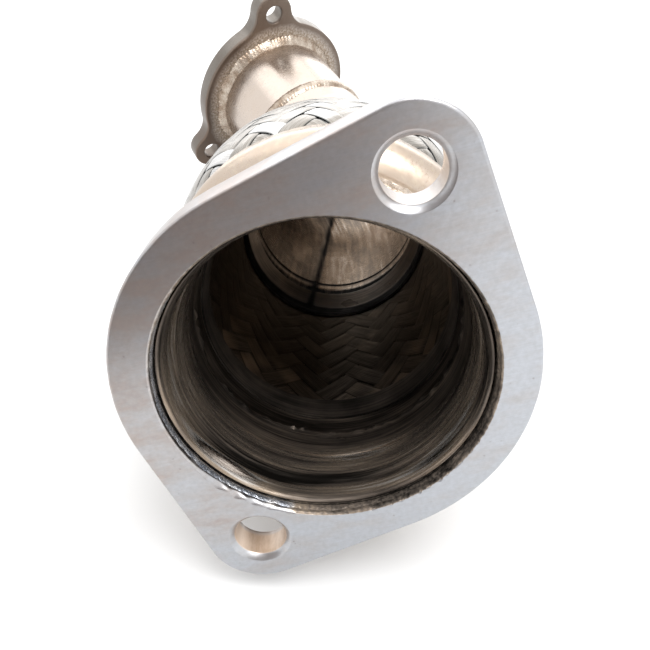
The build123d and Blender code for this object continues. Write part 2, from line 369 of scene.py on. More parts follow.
def make_piece(name, points, faces, finish, slot, sharp=35, **layers):
    """Mesh object in metres that stands for a CAD node. Each layer is a number or vector per point.

    Edges of more than the sharp angle, in degrees, stay sharp."""
    mesh = bpy.data.meshes.new(name)
    mesh.from_pydata((np.asarray(points) * MM).tolist(), [], [list(map(int, f)) for f in faces])
    for layer, values in layers.items():
        values = np.asarray(values, np.float32)
        kind = "FLOAT_VECTOR" if values.ndim == 2 else "FLOAT"
        data = mesh.attributes.new(layer, kind, "POINT").data
        data.foreach_set("vector" if values.ndim == 2 else "value", values.ravel())
    mesh.shade_smooth()
    mesh.set_sharp_from_angle(angle=math.radians(sharp))
    mesh.materials.append(finish)
    piece = link(name, mesh)
    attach(piece, "root")
    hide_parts(name)


def heat_from(s, welds):
    """Distance to the nearest weld along the pipe, in millimetres."""
    return np.min([np.abs(s - w) for w in welds], axis=0)


def lathe(name, loop, finish, slot, columns, place=on_pipe, reshape=None, welds=(), soot=None, sharp=35):
    """Closed outline of (distance, radius) points carried round an axis."""
    turn = np.arange(columns) * 2 * math.pi / columns
    s, turn = np.meshgrid(loop[:, 0], turn, indexing="ij")
    r = np.repeat(loop[:, 1:2], columns, axis=1)
    flat_s, flat_r = s, r
    if reshape:
        s, r = reshape(s, r, turn)
    points = place(s, r, turn).reshape(-1, 3)
    faces = grid_faces(*s.shape)
    if volume(points, faces) < 0:
        faces = faces[:, ::-1]
    flat = np.stack([flat_r * np.cos(turn), flat_r * np.sin(turn), flat_s], -1).reshape(-1, 3)
    heat = np.full(len(flat), COLD)
    if len(welds):
        heat = np.where(flat_r > TUBE_R - 0.5, heat_from(flat_s, welds), COLD).ravel()
    # The soot layer carries grime and also painted light and shade.
    shading_and_dirt = soot(flat_s, flat_r, turn).ravel() if soot else np.zeros(len(flat))
    make_piece(name, points, faces, finish, slot, sharp=sharp, flat=flat, heat=heat, soot=shading_and_dirt)


# Finishes

class Finish:
    """Metal whose colour, roughness and relief come from noise in the pieces' own coordinates."""

    def __init__(self, name, roughness):
        self.material = bpy.data.materials.new(name)
        self.material.use_nodes = True
        self.tree = self.material.node_tree
        self.shader = self.tree.nodes["Principled BSDF"]
        self.shader.inputs["Metallic"].default_value = 1.0
        self.shader.inputs["Roughness"].default_value = roughness
        self.relief = None

    def node(self, kind, inputs=(), **settings):
        made = self.tree.nodes.new(kind)
        for key, value in settings.items():
            setattr(made, key, value)
        for key, value in dict(inputs).items():
            self.feed(made.inputs[key], value)
        return made

    def feed(self, socket, value):
        if isinstance(value, bpy.types.NodeSocket):
            self.tree.links.new(value, socket)
        else:
            socket.default_value = value

    def layer(self, name):
        return self.node("ShaderNodeAttribute", attribute_name=name)

    def noise(self, stretch, detail=4.0, rough=0.55, layer="flat"):
        return self.noise_at(self.layer(layer).outputs["Vector"], stretch, detail, rough)

    def stretched(self, spot, stretch):
        return self.node("ShaderNodeMapping", {"Vector": spot, "Scale": stretch}).outputs["Vector"]

    def noise_at(self, spot, stretch, detail, rough=0.55):
        return self.node("ShaderNodeTexNoise", {
            "Vector": self.stretched(spot, stretch),
            "Scale": 1.0,
            "Detail": detail,
            "Roughness": rough,
        }).outputs["Fac"]

    def spots(self, stretch):
        return self.node("ShaderNodeTexVoronoi", {
            "Vector": self.stretched(self.layer("flat").outputs["Vector"], stretch),
            "Scale": 1.0,
        }).outputs["Distance"]

    def ramp(self, value, stops):
        """Colours by value, from (position, colour) stops."""
        made = self.node("ShaderNodeValToRGB", {"Fac": value})
        ramp = made.color_ramp
        while len(ramp.elements) < len(stops):
            ramp.elements.new(0.5)
        for element, (position, colour) in zip(ramp.elements, stops):
            element.position = position
            element.color = (*colour, 1)
        return made.outputs["Color"]

    def range(self, value, low, high, to_low=0.0, to_high=1.0):
        return self.node("ShaderNodeMapRange", {
            "Value": value,
            "From Min": low,
            "From Max": high,
            "To Min": to_low,
            "To Max": to_high,
        }).outputs["Result"]

    def math(self, operation, first, second=0.0):
        made = self.node("ShaderNodeMath", operation=operation)
        self.feed(made.inputs[0], first)
        self.feed(made.inputs[1], second)
        return made.outputs["Value"]

    def mix(self, share, first, second):
        made = self.node("ShaderNodeMix", data_type="RGBA")
        self.feed(made.inputs["Factor"], share)
        for socket, value in ((made.inputs[6], first), (made.inputs[7], second)):
            if isinstance(value, tuple):
                value = (*value, 1)
            self.feed(socket, value)
        return made.outputs[2]

    def colour(self, value):
        self.feed(self.shader.inputs["Base Color"], value)

    def matt(self, roughness, bare, grimy, cover=None):
        """The level of grime and painted shading also sets the finish: the higher it is, the rougher and the
        less metallic.
        """
        soot = self.layer("soot").outputs["Fac"]
        cover = self.math("MAXIMUM", soot, cover) if cover else soot
        self.feed(self.shader.inputs["Metallic"], self.range(cover, 0.1, 0.4, bare, grimy))
        self.roughness(self.math("ADD", roughness, self.range(soot, 0.6, 1.0, 0, 0.45)))
        stops = [(0.1, WHITE), (0.4, GLANCE), (0.75, GLANCE), (1.0, DIM_GLANCE)]
        self.feed(self.shader.inputs["Specular Tint"], self.ramp(soot, stops))

    def roughness(self, value):
        self.feed(self.shader.inputs["Roughness"], value)

    def bump(self, height, depth):
        """Adds relief of that depth in millimetres."""
        made = self.node("ShaderNodeBump", {"Height": height, "Distance": depth * MM, "Strength": 1.0})
        if self.relief:
            self.tree.links.new(self.relief, made.inputs["Normal"])
        self.relief = made.outputs["Normal"]
        self.tree.links.new(self.relief, self.shader.inputs["Normal"])


WHITE = (1.0, 1.0, 1.0)
CLEAN = (0.71, 0.71, 0.71)
WARM = (0.71, 0.695, 0.675)
STRAW = (0.66, 0.54, 0.38)
BROWN = (0.46, 0.34, 0.25)
BLUE = (0.40, 0.44, 0.52)
PIT = (0.20, 0.16, 0.14)
FRESH_CUT_AND_SHEEN = (0.68, 0.66, 0.64)
HOLE_TAN = ((0.42, (0.66, 0.54, 0.44)), (0.56, (0.42, 0.30, 0.21)))
GLANCE = (0.87, 0.77, 0.68)
DIM_GLANCE = (0.16, 0.14, 0.12)
# Colours by a level that is partly soot and partly painted light and shade, from bare metal to black.
SOOT_AND_SHADING_COLOURS = [(0.0, (0.66, 0.62, 0.58)), (0.3, (0.30, 0.238, 0.18)), (0.55, (0.155, 0.127, 0.104)),
         (0.8, (0.056, 0.047, 0.040)), (1.0, (0.008, 0.007, 0.006))]


def plate_finish(name, pale, dull, stain_and_shade):
    """Ground plate: straight fine grain, drawn-out stains, small pits, tan hole walls, dark grime, painted
    light and shade.
    """
    f = Finish(name, 0.3)
    turned = f.node("ShaderNodeMapping", {
        "Vector": f.layer("flat").outputs["Vector"],
        "Rotation": (0, 0, -GRAIN_TURN),
    }).outputs["Vector"]
    grain = f.noise_at(turned, (0.16, 3.2, 0.5), detail=5)
    cloud = f.noise_at(turned, (0.045, 0.11, 0.02), detail=6, rough=0.7)
    mottle = f.noise((0.8, 0.8, 0.8), detail=4)
    place = f.node("ShaderNodeSeparateXYZ", {"Vector": turned})
    # Painted reflection: one corner of the face is pushed towards the browner, darker stain tone, the other
    # towards the paler one, over random stains.
    corner = f.math("ADD", place.outputs["X"], place.outputs["Y"])
    stain_and_reflection = f.math("ADD", cloud, f.range(corner, -70, 70, 0.15, -0.15))
    tone = f.ramp(stain_and_reflection, [(0.38, pale), (0.54, dull), (0.68, stain_and_shade)])
    tone = f.mix(f.range(grain, 0.35, 0.7, 0, 0.3), tone, tuple(c * 0.8 for c in dull))
    pits = f.range(f.spots((0.30, 0.30, 0.30)), 0.0, 0.11, 1, 0)
    tone = f.mix(f.math("MULTIPLY", pits, f.range(mottle, 0.48, 0.56, 0, 0.7)), tone, PIT)
    # Painted shade: a brown band along the plate's back edge.
    depth = f.node("ShaderNodeSeparateXYZ", {"Vector": f.layer("flat").outputs["Vector"]}).outputs["Z"]
    back = (0.8 * stain_and_shade[0], 0.62 * stain_and_shade[1], 0.5 * stain_and_shade[2])
    tone = f.mix(f.range(depth, 7.9, 8.7, 0, 0.55), tone, back)
    tone = f.mix(f.range(mottle, 0.35, 0.65, 0, 0.22), tone, tuple(c * 0.6 for c in dull))
    tint = f.layer("tint").outputs["Fac"]
    tone = f.mix(tint, tone, f.ramp(cloud, HOLE_TAN))
    # Chamfers get a lighter fresh-cut tone that is partly a painted sheen.
    chamfer = f.layer("chamfer").outputs["Fac"]
    tone = f.mix(chamfer, tone, FRESH_CUT_AND_SHEEN)
    soot = f.layer("soot").outputs["Fac"]
    level = f.math("ADD", soot, f.range(mottle, 0.3, 0.7, -0.22, 0.22))
    tone = f.mix(f.range(soot, 0.05, 0.3), tone, f.ramp(level, SOOT_AND_SHADING_COLOURS))
    f.colour(tone)
    cover = f.math("MAXIMUM", tint, chamfer)
    f.matt(f.range(cloud, 0.35, 0.65, 0.30, 0.38), bare=1.0, grimy=0.3, cover=cover)
    f.bump(grain, 0.006)
    f.bump(f.math("MULTIPLY", mottle, f.range(soot, 0.02, 0.5, 0.06, 1)), 0.2)
    return f.material


def tube_finish(name, band, streak):
    """Satin tube: clean outside with heat tint beside the welds, grime inside drawn out one way, with painted
    light and shade.
    """
    f = Finish(name, 0.3)
    rub = f.noise((0.35, 0.35, 2.6), detail=5)
    cloud = f.noise((0.045, 0.045, 0.05), detail=3)
    tone = f.ramp(cloud, [(0.35, CLEAN), (0.55, WARM), (0.72, (0.66, 0.635, 0.60))])
    tone = f.mix(f.range(rub, 0.42, 0.70, 0, 0.2), tone, (0.56, 0.53, 0.50))
    blur = f.range(f.noise((0.10, 0.10, 0.15), detail=4), 0.3, 0.7, -1.6, 1.6)
    heat = f.math("ADD", f.layer("heat").outputs["Fac"], blur)
    tint = f.ramp(f.range(heat, 0, 12), [(0.25, BROWN), (0.36, BLUE), (0.55, STRAW), (1.0, WARM)])
    tone = f.mix(f.range(heat, 2.5, 8, 0.6, 0), tone, tint)
    soot = f.layer("soot").outputs["Fac"]
    wide, fine = f.noise(band, detail=4), f.noise(streak, detail=5, rough=0.6)
    level = f.math("ADD", soot, f.range(wide, 0.3, 0.7, -0.28, 0.28))
    level = f.math("ADD", level, f.range(fine, 0.3, 0.7, -0.28, 0.28))
    f.colour(f.mix(f.range(soot, 0.02, 0.1), tone, f.ramp(level, SOOT_AND_SHADING_COLOURS)))
    f.matt(f.range(f.math("ADD", rub, wide), 0.75, 1.25, 0.18, 0.34), bare=1.0, grimy=0.66)
    f.bump(rub, 0.02)
    f.bump(wide, 0.12)
    f.bump(fine, 0.05)
    return f.material


def collar_finish():
    """Pressed cap: satin, cream, with draw lines along it."""
    f = Finish("collar_steel", 0.3)
    lines = f.noise((0.9, 0.9, 0.06), detail=4)
    cloud = f.noise((0.06, 0.06, 0.08), detail=4)
    stops = [(0.34, (0.52, 0.50, 0.47)), (0.55, (0.51, 0.465, 0.405)), (0.70, (0.46, 0.41, 0.35))]
    tone = f.ramp(cloud, stops)
    blur = f.range(f.noise((0.3, 0.3, 0.3)), 0.3, 0.7, -1.2, 1.2)
    heat = f.math("ADD", f.layer("heat").outputs["Fac"], blur)
    tint = f.ramp(f.range(heat, 0, 9), [(0.0, BROWN), (0.25, STRAW), (1.0, WARM)])
    tone = f.mix(f.range(heat, 1, 7, 0.6, 0), tone, tint)
    f.colour(f.mix(f.range(lines, 0.45, 0.7, 0, 0.2), tone, (0.48, 0.43, 0.38)))
    f.roughness(f.range(f.math("ADD", lines, cloud), 0.75, 1.25, 0.24, 0.40))
    f.bump(lines, 0.02)
    f.bump(cloud, 0.12)
    return f.material


def woven_finish(name, light, dark, gap, lit, shade, wire_pitch, smooth, rough, glance):
    """Flat wire bundles: fine wires along each one, its own tone, a few brighter, and painted shade in the
    wire grooves, on the strips' edges and deep inside.
    """
    f = Finish(name, smooth)
    f.shader.inputs["Specular Tint"].default_value = (*glance, 1)
    parts = f.node("ShaderNodeSeparateXYZ", {"Vector": f.layer("strand").outputs["Vector"]})
    across = f.math("MULTIPLY", parts.outputs["X"], 2 * math.pi / wire_pitch)
    wires = f.range(f.math("SINE", across), -1, 1)
    ragged = f.noise((1.3, 0.12, 3.1), detail=3, layer="strand")
    own = f.noise((0.0, 0.045, 0.9), detail=1, layer="strand")
    tone = f.mix(f.range(ragged, 0.34, 0.66), light, dark)
    tone = f.mix(f.range(own, 0.56, 0.64), tone, lit)
    # The gap colour paints shade: in the grooves between the wires, along the strips' edges and undersides,
    # and deeper inside the joint.
    groove_shade = f.math("MULTIPLY", f.range(wires, 0.4, 0.0, 0, 0.35), f.range(ragged, 0.35, 0.6, 0.2, 1))
    tone = f.mix(groove_shade, tone, gap)
    edge = f.layer("edge").outputs["Fac"]
    along = f.node("ShaderNodeSeparateXYZ", {"Vector": f.layer("flat").outputs["Vector"]}).outputs["Z"]
    tone = f.mix(f.range(along, FRONT_RING_END, FRONT_RING_END + 21, 0, shade), tone, gap)
    f.colour(f.mix(f.range(edge, 0.6, 0.95, 0, 0.9), tone, gap))
    f.roughness(f.range(ragged, 0.3, 0.7, smooth, rough))
    f.bump(wires, WIRE_DEPTH)
    f.bump(ragged, 0.03)
    return f.material


def ring_finish():
    """Liner rings: grime and painted shade with rubbed streaks round them."""
    f = Finish("inner_steel", 0.3)
    streak = f.noise((0.035, 0.035, 1.1), detail=5)
    stain = f.noise((0.09, 0.09, 0.09), detail=4)
    level = f.math("ADD", f.layer("soot").outputs["Fac"], f.range(streak, 0.3, 0.7, -0.15, 0.15))
    f.colour(f.ramp(f.math("ADD", level, f.range(stain, 0.3, 0.7, -0.1, 0.1)), SOOT_AND_SHADING_COLOURS))
    f.matt(f.range(stain, 0.3, 0.7, 0.24, 0.42), bare=1.0, grimy=0.45)
    f.bump(streak, 0.04)
    return f.material


def weld_finish(name, crown, toe):
    """Bead: bright crown, tinted toes, fine grit, grime with painted light and shade."""
    f = Finish(name, 0.24)
    grit = f.noise((1.3, 1.3, 1.3), detail=5)
    cloud = f.noise((0.16, 0.16, 0.16), detail=4)
    tone = f.ramp(cloud, [(0.40, crown), (0.60, toe)])
    tone = f.mix(f.range(grit, 0.5, 0.68, 0, 0.45), tone, tuple(c * 0.4 for c in toe))
    soot = f.layer("soot").outputs["Fac"]
    level = f.math("ADD", soot, f.range(grit, 0.3, 0.7, -0.2, 0.2))
    f.colour(f.mix(f.range(soot, 0.05, 0.35), tone, f.ramp(level, SOOT_AND_SHADING_COLOURS)))
    f.matt(f.range(grit, 0.3, 0.7, 0.14, 0.42), bare=0.9, grimy=0.3)
    f.bump(grit, 0.2)
    return f.material


def bellows_finish():
    """Dark steel with blotches by the object's own coordinates, since the CAD solid has no layers."""
    f = Finish("bellows_steel", 0.3)
    spot = f.node("ShaderNodeTexCoord").outputs["Object"]
    stain = f.node("ShaderNodeTexNoise", {"Vector": spot, "Scale": 60.0, "Detail": 4.0}).outputs["Fac"]
    f.colour(f.ramp(stain, [(0.35, (0.12, 0.09, 0.065)), (0.65, (0.34, 0.29, 0.24))]))
    f.roughness(f.range(stain, 0.3, 0.7, 0.26, 0.42))
    return f.material


PLATE = plate_finish("plate_steel", (0.47, 0.49, 0.525), (0.455, 0.445, 0.45), (0.42, 0.365, 0.34))
TURBO_PLATE = plate_finish("turbo_plate_steel", (0.22, 0.20, 0.18), (0.19, 0.17, 0.15), (0.18, 0.15, 0.13))
STUB = tube_finish("stub_steel", band=(0.02, 0.02, 0.16), streak=(0.045, 0.045, 1.5))
TUBE = tube_finish("tube_steel", band=(0.07, 0.07, 0.03), streak=(0.5, 0.5, 0.03))
COLLAR = collar_finish()
OUTER_WEAVE = woven_finish(
    "braid_steel",
    light=(0.36, 0.34, 0.315),
    dark=(0.26, 0.235, 0.205),
    gap=(0.04, 0.045, 0.045),
    lit=(0.58, 0.57, 0.56),
    shade=0.0,
    wire_pitch=0.62,
    smooth=0.22,
    rough=0.34,
    glance=WHITE,
)
INNER_WEAVE = woven_finish(
    "liner_steel",
    light=(0.18, 0.157, 0.137),
    dark=(0.10, 0.087, 0.075),
    gap=(0.006, 0.0054, 0.0048),
    lit=(0.42, 0.34, 0.265),
    shade=0.90,
    wire_pitch=0.75,
    smooth=0.32,
    rough=0.46,
    glance=(0.62, 0.59, 0.56),
)
INNER = ring_finish()
WELD = weld_finish("weld_steel", (0.80, 0.82, 0.86), (0.42, 0.46, 0.54))
TINTED_WELD = weld_finish("tinted_weld_steel", (0.50, 0.43, 0.36), (0.29, 0.22, 0.165))


# Plates

def arc(centre, radius, start, end):
    """Points on an arc about a step apart, its far end left out."""
    count = max(3, math.ceil(abs(end - start) * radius / ARC_STEP))
    turn = start + (end - start) * np.arange(count) / count
    return np.stack([centre[0] + radius * np.cos(turn), centre[1] + radius * np.sin(turn)], -1)


def outlet_outline():
    """Two ears and a hub joined by straight tangents."""
    tilt = math.acos((OUTLET_HUB - OUTLET_EAR) / OUTLET_SPAN)
    half = math.pi
    return np.concatenate([
        arc((OUTLET_SPAN, 0), OUTLET_EAR, -tilt, tilt),
        arc((0, 0), OUTLET_HUB, tilt, half - tilt),
        arc((-OUTLET_SPAN, 0), OUTLET_EAR, half - tilt, half + tilt),
        arc((0, 0), OUTLET_HUB, half + tilt, 2 * half - tilt),
    ])


def inlet_outline():
    """Round hub with three ears, each blended into it."""
    hub_side = INLET_HUB + INLET_BLEND
    ear_side = INLET_EAR + INLET_BLEND
    turn = math.acos((hub_side ** 2 + INLET_SPAN ** 2 - ear_side ** 2) / (2 * hub_side * INLET_SPAN))
    pieces = []
    for ear in range(INLET_EARS):
        way = INLET_CLOCK + ear * 2 * math.pi / INLET_EARS
        middle = INLET_SPAN * np.array([math.cos(way), math.sin(way)])
        sides = (way - turn, way + turn)
        blend = [hub_side * np.array([math.cos(side), math.sin(side)]) for side in sides]
        to_ear = [math.atan2(*(middle - b)[::-1]) for b in blend]
        spans = [angle_gap(to_ear[0], sides[0] + math.pi), angle_gap(sides[1] + math.pi, to_ear[1])]
        pieces.append(arc(blend[0], INLET_BLEND, to_ear[0] - spans[0], to_ear[0]))
        start = to_ear[0] + math.pi
        pieces.append(arc(middle, INLET_EAR, start, start + (to_ear[1] + math.pi - start) % (2 * math.pi)))
        pieces.append(arc(blend[1], INLET_BLEND, to_ear[1], to_ear[1] + spans[1]))
        pieces.append(arc((0, 0), INLET_HUB, way + turn, way + 2 * math.pi / INLET_EARS - turn))
    return np.concatenate(pieces)


def inset(outline, amount):
    """The outline moved inwards along its own normals."""
    ahead = np.roll(outline, -1, axis=0) - np.roll(outline, 1, axis=0)
    ahead = ahead / np.linalg.norm(ahead, axis=1)[:, None]
    inward = np.stack([-ahead[:, 1], ahead[:, 0]], -1)
    return outline + inward * np.broadcast_to(amount, (len(outline),))[:, None]


def edge_levels(thickness):
    """(inset, depth) pairs down a plate's rounded edge."""
    angles = np.linspace(0, math.pi / 2, 5)
    low = [(PLATE_ROUND * (1 - math.sin(a)), PLATE_ROUND * (1 - math.cos(a))) for a in angles]
    high = [(i, thickness - d) for i, d in low[::-1]]
    return low + high


def circle_levels(middle, levels, step=ARC_STEP, burr=None):
    """Hole walls as rings of points, from (radius, depth) pairs. The burr widens the ones near the face."""
    count = math.ceil(2 * math.pi * levels[0][0] / step)
    turn = -2 * math.pi * np.arange(count) / count
    rings = []
    for r, depth in levels:
        if burr:
            r = r + burr(turn) * ease(-depth, -BURR_DEPTH, -BURR_FULL)
        rings.append((np.stack([middle[0] + r * np.cos(turn), middle[1] + r * np.sin(turn)], -1), depth))
    return rings


def plate_piece(name, walls, place, finish, tint, chamfer, soot):
    """Plate from its walls, each a list of (loop, depth) from front to back, and two filled faces."""
    points, faces, rims = [], [], ([], [])
    for wall in walls:
        base = sum(len(p) for p in points)
        count = len(wall[0][0])
        for loop, depth in wall:
            points.append(np.column_stack([loop, np.broadcast_to(depth, (count,))]))
        index = base + np.arange(count * len(wall)).reshape(len(wall), count)
        after = np.roll(index, -1, axis=1)
        faces += np.stack([index[:-1], index[1:], after[1:], after[:-1]], -1).reshape(-1, 4).tolist()
        rims[0].append(index[0])
        rims[1].append(index[-1])
    flat = np.concatenate(points)
    for side, rim in enumerate(rims):
        faces += fill(flat, rim, flip=side == 0)
    r = np.hypot(flat[:, 0], flat[:, 1])
    turn = np.arctan2(flat[:, 1], flat[:, 0])
    make_piece(name, place(flat[:, 2], r, turn), faces, finish, "plate_steel", sharp=30, flat=flat,
               tint=tint(flat), chamfer=chamfer(flat), soot=soot(flat[:, 2], r, turn))


def fill(flat, rim, flip):
    """Triangles between an outer loop and the holes in it."""
    used = np.concatenate(rim)
    corners = [Vector(flat[i, :2]) for i in used]
    loops, start = [], 0
    for loop in rim:
        loops.append(list(range(start, start + len(loop))))
        start += len(loop)
    made = delaunay_2d_cdt(corners, [], loops, 2, 1e-6)
    triangles = []
    for face in made[2]:
        face = [int(used[made[3][i][0]]) for i in face]
        triangles.append(face[::-1] if flip else face)
    return triangles


def outlet_plate():
    """Two-eared plate with a nicked and dented edge, chamfered bolt holes and a worn, ragged bore."""
    outline = outlet_outline()
    count = len(outline)
    ring = np.arange(count) * 2 * math.pi / count
    dents = np.clip(DENT * wobble(ring, 1, 3, 60, 0.7), 0, DENT_LIMIT)
    nick = NICK * near(angle_gap(np.arctan2(outline[:, 1], outline[:, 0]), -OUTLET_CLOCK), 0, NICK_HALF)
    walls = [[(inset(outline, i + dents + nick * (1 if d < 1 else 0.4)), d)
              for i, d in edge_levels(OUTLET_THICKNESS)]]
    mouth = OUTLET_HOLE + HOLE_CHAMFER
    levels = [(mouth + 0.25, 0), (mouth, 0.1), (OUTLET_HOLE + 0.15, HOLE_CHAMFER),
              (OUTLET_HOLE, HOLE_CHAMFER + 0.25)]
    levels += [(OUTLET_HOLE, 2 + i) for i in range(6)]
    levels += [(OUTLET_HOLE + 0.1, OUTLET_THICKNESS - 0.3), (OUTLET_HOLE + 0.4, OUTLET_THICKNESS)]
    for side in (1, -1):
        walls.append(circle_levels((side * OUTLET_SPAN, 0), levels, HOLE_STEP))
    levels = [(BORE_R + 0.55, 0), (BORE_R + 0.35, 0.08), (BORE_R + 0.1, 0.35), (BORE_R, 0.6), (BORE_R, 0.9),
              (BORE_R, 1.2), (BORE_R, 2), (BORE_R, OUTLET_RECESS), (TUBE_R + 0.3, OUTLET_RECESS + 1.6),
              (TUBE_R + 0.3, OUTLET_THICKNESS)]
    walls.append(circle_levels((0, 0), levels, BORE_STEP, bore_burr))

    def from_hole(flat):
        return np.hypot(np.abs(flat[:, 0]) - OUTLET_SPAN, flat[:, 1])

    def tint(flat):
        inside = from_hole(flat) < OUTLET_HOLE + 0.05
        # The upper hole's wall gets less tan, so it is painted lighter, as more light falls into it.
        return np.where(inside, np.where(flat[:, 0] > 0, 0.35, 1.0), 0.0)

    def chamfer(flat):
        away = from_hole(flat)
        sloping = (away < mouth + 0.1) & (away > OUTLET_HOLE + 0.05) & (flat[:, 2] < 2)
        return np.where(sloping, 0.12, 0.0)

    def soot(depth, r, turn):
        wall = (r < BORE_R + 0.5) & (depth > 0.05)
        return np.where(wall, np.clip(bore_soot(turn), 0, 1) * ease(depth, 0.0, 0.12), 0.0)

    plate_piece("outlet_flange", walls, on_outlet_plate, PLATE, tint, chamfer, soot)


def bore_burr(turn):
    """Ragged edge at the lower right of the bore and a worn one at the lower left."""
    rough = near(angle_gap(turn, RAGGED_AT), 0, RAGGED_HALF)
    worn = near(angle_gap(turn, WORN_AT), 0, WORN_HALF)
    chips = np.clip(0.3 * wobble(turn, 41, 30, 160, 0.3), -0.1, 0.8)
    return rough * chips + worn * (0.6 + 0.22 * wobble(turn, 43, 6, 60, 0.3))


def bore_soot(turn):
    """Grime and painted light round the recess: bare metal at the lower left, where the highlight is painted,
    much grime at the lower right.
    """
    degrees = np.degrees(turn + OUTLET_CLOCK) % 360
    stops = [0, 55, 80, 100, 150, 172, 192, 208, 245, 300, 360]
    levels = [0.85, 0.8, 0.55, 0.84, 0.92, 0.74, 0.3, 0.0, 0.05, 0.3, 0.85]
    return 0.92 * np.interp(degrees, stops, levels) + 0.05 * wobble(turn, 42, 6, 50, 0.5)


def inlet_plate():
    """Plain three-eared plate at the turbo's end."""
    outline = inlet_outline()
    walls = [[(inset(outline, i), d) for i, d in edge_levels(INLET_THICKNESS)]]
    levels = [(INLET_HOLE + 0.5, 0), (INLET_HOLE + 0.1, 0.35), (INLET_HOLE, 0.7)]
    levels += [(INLET_HOLE, 2 + i) for i in range(8)]
    levels += [(INLET_HOLE + 0.1, INLET_THICKNESS - 0.35), (INLET_HOLE + 0.5, INLET_THICKNESS)]
    for ear in range(INLET_EARS):
        way = INLET_CLOCK + ear * 2 * math.pi / INLET_EARS
        middle = (INLET_SPAN * math.cos(way), INLET_SPAN * math.sin(way))
        walls.append(circle_levels(middle, levels, HOLE_STEP))
    levels = [(BORE_R + 0.5, 0), (BORE_R + 0.1, 0.35), (BORE_R, 0.8), (BORE_R, INLET_RECESS),
              (TUBE_R + 0.05, INLET_RECESS + 0.2), (TUBE_R + 0.05, INLET_THICKNESS)]
    walls.append(circle_levels((0, 0), levels))

    def nowhere(flat):
        return np.zeros(len(flat))

    def soot(depth, r, turn):
        return np.where(r < BORE_R + 0.2, 0.5, 0.0)

    plate_piece("inlet_flange", walls, on_inlet, TURBO_PLATE, nowhere, nowhere, soot)


# Tubes

def outlet_slant(turn):
    """How far along the pipe the plane of the stub's end lies, round the tube."""
    return -TUBE_R * (np.cos(turn) * UP[1] + np.sin(turn) * RIGHT[1]) / ALONG[1]


def inner_face(r, wall):
    """1 on a tube's inner face, fading to 0 through that much of its wall."""
    return ease(-r, -TUBE_RI - wall, -TUBE_RI - 0.3)


def stub_marks(s, turn):
    """How much wider the stub's bore is than a plain one."""
    lip = LIP_FLARE * np.clip(1 - s / LIP_LENGTH, 0, 1) ** LIP_POWER
    trough = TROUGH_DEPTH * between(s, TROUGH_RISE, TROUGH_FALL)
    step = STEP_DEPTH * ease(s, *STEP_RISE)
    line = FLEX_START + 0.5 * wobble(turn, 3, 4, 60, 0.3)
    mark = WELD_MARK * near(s, line, 0.7) * (0.6 + 0.4 * wobble(turn, 4, 8, 70))
    bulge = BULGE * near(np.degrees(turn), BULGE_DEGREES, 15) * near(s, BULGE_PLACE, 1.6)
    return lip + trough + step - mark - bulge


def stub():
    """Short tube with a rolled lip, a shallow trough and weld marks on its inside."""
    draw = np.random.default_rng(SEED)
    spatter = [(draw.uniform(2.8, 3.8), draw.uniform(31, 36), draw.uniform(0.3, 0.7))
               for _ in range(SPATTER_COUNT)]

    def reshape(s, r, turn):
        change = stub_marks(s, turn)
        for where, depth, size in spatter:
            gap = np.hypot(angle_gap(turn, where) * TUBE_RI, s - depth)
            change = change - size * 0.8 * np.sqrt(np.clip(1 - (gap / size) ** 2, 0, 1))
        r = r + inner_face(r, 1.1) * change + 0.04 * wobble(turn, 5, 2, 9)
        return s + outlet_slant(turn) * (1 - ease(s, 0, 16)), r

    def soot(s, r, turn):
        stops = [0, 2.5, 4.5, 15, 22, 24.5, 34, 36, STUB_END]
        level = np.interp(s, stops, [0.62, 0.60, 0.62, 0.60, 0.60, 0.68, 0.72, 0.80, 0.86])
        degrees = np.degrees(turn) % 360
        # Painted shadow in the trough, darkest at the bottom, and painted light on the left side.
        trough = 8.6 + 3.4 * near(degrees, 176, 17)
        level = level + 0.55 * near(degrees, 208, 44) * near(s, trough, 3.1) - 0.10 * near(degrees, 272, 40)
        # Patches of painted light and shade, partly rubbed metal.
        for amount, at, half_width, distance, half_length in STUB_SHADING_PATCHES:
            level = level + amount * near(degrees, at, half_width) * near(s, distance, half_length)
        # The stub's outside next to the lip, in the crevice beside the bead, is painted black as shade.
        crevice_shade = (r > TUBE_R - 0.5) & (s < 3)
        return np.where(r < TUBE_R - 0.45, np.clip(level, 0.03, 1), np.where(crevice_shade, 1.0, 0.0))

    corners = [(0.25, TUBE_RI, 0.7), (0, TUBE_R - 0.6, 0.4), (1.4, TUBE_R, 0.3), (STUB_END, TUBE_R, 0.3),
               (STUB_END, TUBE_RI, 0.3)]
    lathe("outlet_stub", divide(soften(corners), 0.6), STUB, "tube_steel", columns=STUB_COLUMNS,
          reshape=reshape, welds=(4.0, FLEX_START), soot=soot)


def seam_at(s):
    """Angle of the tube's seam, which winds slowly round the pipe."""
    return np.radians(np.interp(s, SEAM_STOPS, SEAM_DEGREES))


